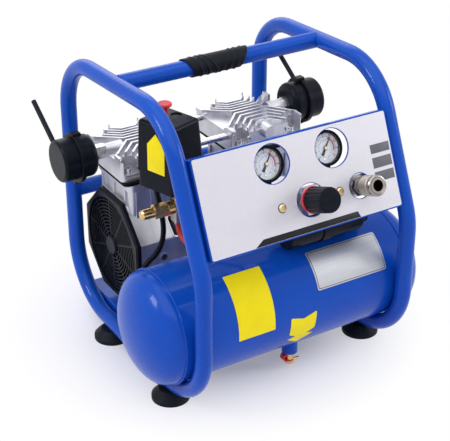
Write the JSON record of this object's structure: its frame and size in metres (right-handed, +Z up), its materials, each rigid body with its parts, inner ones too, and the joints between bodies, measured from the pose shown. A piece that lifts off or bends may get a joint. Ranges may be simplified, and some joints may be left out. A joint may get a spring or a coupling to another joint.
{
  "type": "portable air compressor",
  "caption": "Oil-free air compressor: a finned twin-cylinder pump, a small lying tank and a leaning control panel with gauges, regulator and quick coupler, in a carrying frame of bent tube.",
  "frame": {"origin": "on the floor under the feet, at the middle of the machine's footprint", "axes": "+X to the right along the tank, +Y to the rear, away from the control panel, +Z up"},
  "size_m": [0.4062, 0.3845, 0.3958],
  "materials": {
    "blue_paint": "gloss",
    "grip_rubber": "matt",
    "panel_silver": "satin",
    "zinc_yellow": "yellow zinc plate",
    "zinc_steel": "zinc plate",
    "brass": "turned",
    "red_plastic": "gloss",
    "black_plastic": "fine grain",
    "cast_aluminium": "die cast",
    "black_paint": "satin",
    "steel": "ground",
    "gasket": "matt",
    "chrome_pipe": "polished",
    "nickel": "nickel plate",
    "dial_white": "matt",
    "needle_black": "matt",
    "clear_lens": "clear",
    "black_hose": "matt",
    "red_hose": "satin"
  },
  "bodies": {
    "frame": {"left_hoop": "blue_paint", "right_hoop": "blue_paint", "handle_bar": "blue_paint", "handle_grip": "grip_rubber", "rear_cross_tube": "blue_paint", "motor_base": "blue_paint", "front_panel": "blue_paint", "panel_face": "panel_silver", "panel_screws": "zinc_yellow", "rubber_feet": "grip_rubber", "foot_bolts": "zinc_steel", "tank_shell": "blue_paint", "tank_heads": "blue_paint", "drain_valve": "brass", "outlet_bar": "cast_aluminium", "gauge_cases": "black_plastic", "gauge_dials": "dial_white", "gauge_lenses": "clear_lens", "regulator_bonnet": "zinc_steel", "regulator_ring": "red_plastic", "coupler_body": "nickel", "run_capacitor": "black_plastic", "capacitor_clip": "black_paint", "tank_riser": "nickel", "cross_block": "nickel", "safety_valve_body": "brass", "pressure_switch_base": "black_plastic", "pressure_switch_cover": "black_plastic", "motor_barrel": "black_paint", "stator": "steel", "shaft_bearings": "steel", "end_bells": "cast_aluminium", "left_crankcase": "cast_aluminium", "right_crankcase": "cast_aluminium", "fan_guards": "black_plastic", "head_gaskets": "gasket", "left_head": "cast_aluminium", "right_head": "cast_aluminium", "head_bolts": "zinc_steel", "crossover_pipes": "chrome_pipe", "filter_fittings": "zinc_steel", "filter_bases": "black_plastic", "filter_covers": "black_plastic", "inlet_tubes": "black_plastic", "motor_mounts": "grip_rubber", "check_valve": "brass", "delivery_pipe": "chrome_pipe", "regulator_hose": "red_hose", "motor_lead": "black_hose"},
    "rotor": {"rotor_shaft": "steel", "cooling_fans": "black_plastic"},
    "left_piston": {"left_piston": "cast_aluminium"},
    "right_piston": {"right_piston": "cast_aluminium"},
    "regulator_knob": {"regulator_knob": "black_plastic"},
    "switch_knob": {"switch_knob": "red_plastic"},
    "coupler_sleeve": {"coupler_sleeve": "nickel"},
    "drain_lever": {"drain_lever": "red_plastic"},
    "safety_cap": {"safety_valve_cap": "brass"},
    "tank_needle": {"tank_gauge_needle": "needle_black"},
    "outlet_needle": {"outlet_gauge_needle": "needle_black"}
  },
  "joints": [
    {"name": "motor_spin", "type": "hinge", "parent": "frame", "child": "rotor", "pos_m": [0, 0.10661, 0.1255], "axis": [1, 0, 0], "continuous": true},
    {"name": "left_piston_slide", "type": "slide", "parent": "frame", "child": "left_piston", "axis": [0, 0, 1], "range_m": [-0.006, 0.006]},
    {"name": "right_piston_slide", "type": "slide", "parent": "frame", "child": "right_piston", "axis": [0, 0, 1], "range_m": [-0.006, 0.006]},
    {"name": "regulator_turn", "type": "hinge", "parent": "frame", "child": "regulator_knob", "pos_m": [0.0094, -0.16631, 0.27614], "axis": [0, -0.9157, 0.4019], "range_deg": [-540, 540]},
    {"name": "switch_knob_slide", "type": "slide", "parent": "frame", "child": "switch_knob", "axis": [0, 0, 1], "range_m": [-0.006, 0]},
    {"name": "coupler_sleeve_slide", "type": "slide", "parent": "frame", "child": "coupler_sleeve", "axis": [0, -0.9157, 0.4019], "range_m": [-0.004, 0], "stiffness_N_per_m": 800},
    {"name": "drain_lever_turn", "type": "hinge", "parent": "frame", "child": "drain_lever", "pos_m": [0.015, -0.1034, 0.01991], "axis": [0, 0, 1], "range_deg": [0, 90]},
    {"name": "safety_cap_pull", "type": "slide", "parent": "frame", "child": "safety_cap", "axis": [-1, 0, 0], "range_m": [0, 0.003], "stiffness_N_per_m": 2000},
    {"name": "tank_needle_turn", "type": "hinge", "parent": "frame", "child": "tank_needle", "pos_m": [-0.03285, -0.11372, 0.31137], "axis": [0, -0.9157, 0.4019], "range_deg": [-98, 172]},
    {"name": "outlet_needle_turn", "type": "hinge", "parent": "frame", "child": "outlet_needle", "pos_m": [0.05165, -0.11372, 0.31137], "axis": [0, -0.9157, 0.4019], "range_deg": [-98, 172]}
  ]
}
